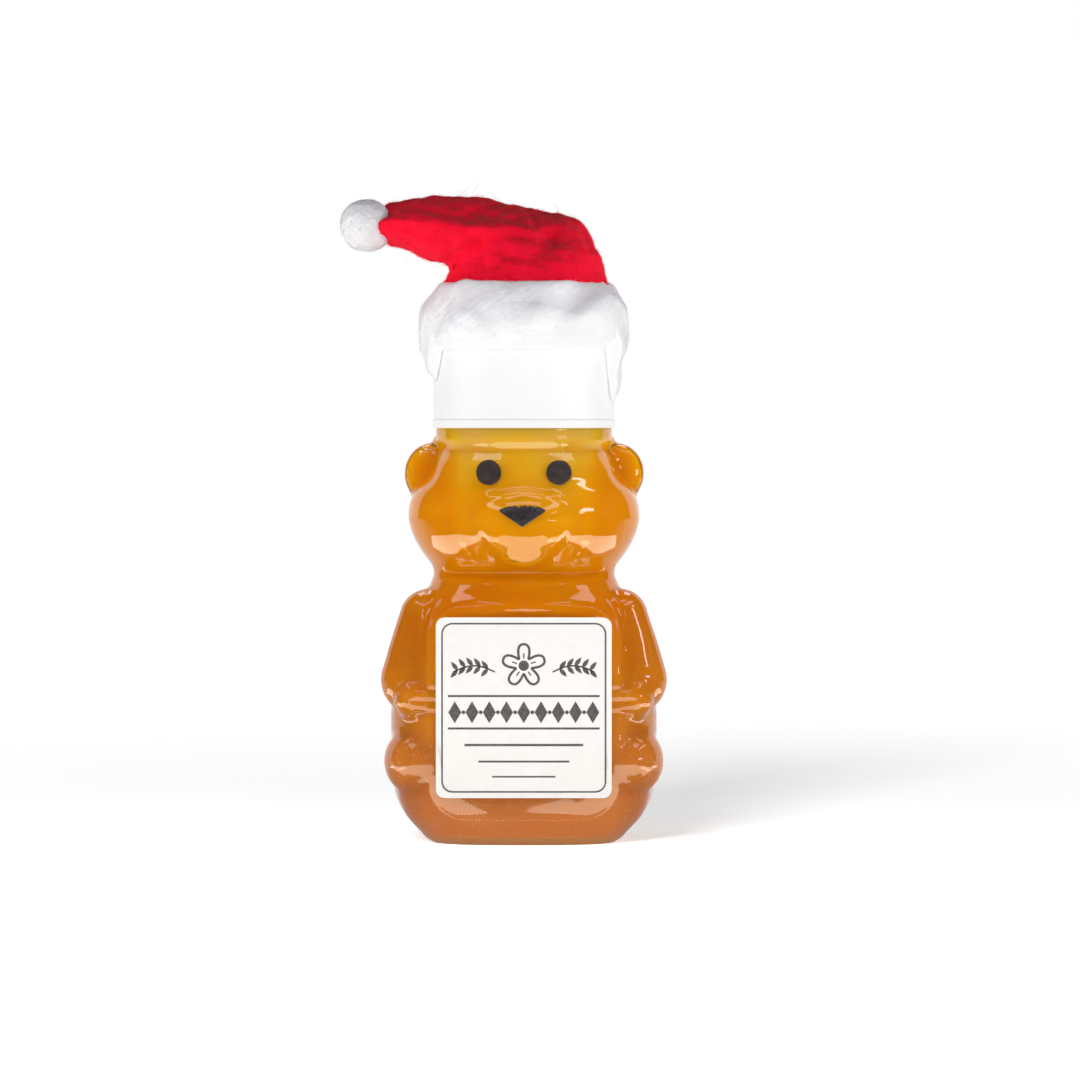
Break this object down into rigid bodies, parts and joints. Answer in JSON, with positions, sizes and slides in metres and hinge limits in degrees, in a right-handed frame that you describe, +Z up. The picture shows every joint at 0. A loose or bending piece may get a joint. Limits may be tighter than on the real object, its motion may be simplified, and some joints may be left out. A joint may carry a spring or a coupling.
{
  "type": "honey bear bottle",
  "caption": "Small clear bear-shaped honey bottle, full of honey, with a screw-on flip-top cap, a paper label and a folded felt hat with a plush brim and pom-pom.",
  "frame": {"origin": "middle of the flat base that the bottle stands on, on the axis of neck and cap", "axes": "+Z up along the neck, -Y out of the bear's face, +X to the right as seen from the front"},
  "size_m": [0.0478, 0.0326, 0.0946],
  "materials": {
    "clear_plastic": "clear, smooth, glossy",
    "honey": "clear amber liquid",
    "black_paint": "gloss black paint",
    "label_paper": "smooth white paper",
    "washer_foam": "fine white foam",
    "white_plastic": "satin moulded plastic",
    "red_felt": "soft red felt",
    "white_plush": "soft white plush"
  },
  "bodies": {
    "bottle": {"bottle": "clear_plastic", "honey": "honey", "eye_left": "black_paint", "eye_right": "black_paint", "nose_paint": "black_paint", "front_label": "label_paper"},
    "seal": {"seal_washer": "washer_foam"},
    "cap": {"cap_base": "white_plastic", "living_hinge": "white_plastic"},
    "lid": {"cap_lid": "white_plastic"},
    "hat": {"hat_cone": "red_felt", "hat_brim": "white_plush", "hat_pompom": "white_plush"}
  },
  "joints": [
    {"name": "cap_lift", "type": "slide", "parent": "bottle", "child": "seal", "axis": [0, 0, 1], "range_m": [0, 0.00397]},
    {"name": "cap_turn", "type": "hinge", "parent": "seal", "child": "cap", "pos_m": [0, 0, 0.0652], "axis": [0, 0, 1], "range_deg": [0, 450]},
    {"name": "lid_flip", "type": "hinge", "parent": "cap", "child": "lid", "pos_m": [0, 0.01258, 0.0724], "axis": [-1, 0, 0], "range_deg": [0, 110], "deforming": ["living_hinge"]},
    {"name": "hat_lift", "type": "slide", "parent": "lid", "child": "hat", "axis": [0, 0, 1], "range_m": [0, 0.03]}
  ],
  "couplings": [
    {"joint": "cap_lift", "follows": "cap_turn", "m_per_rad": 0.00050532}
  ]
}
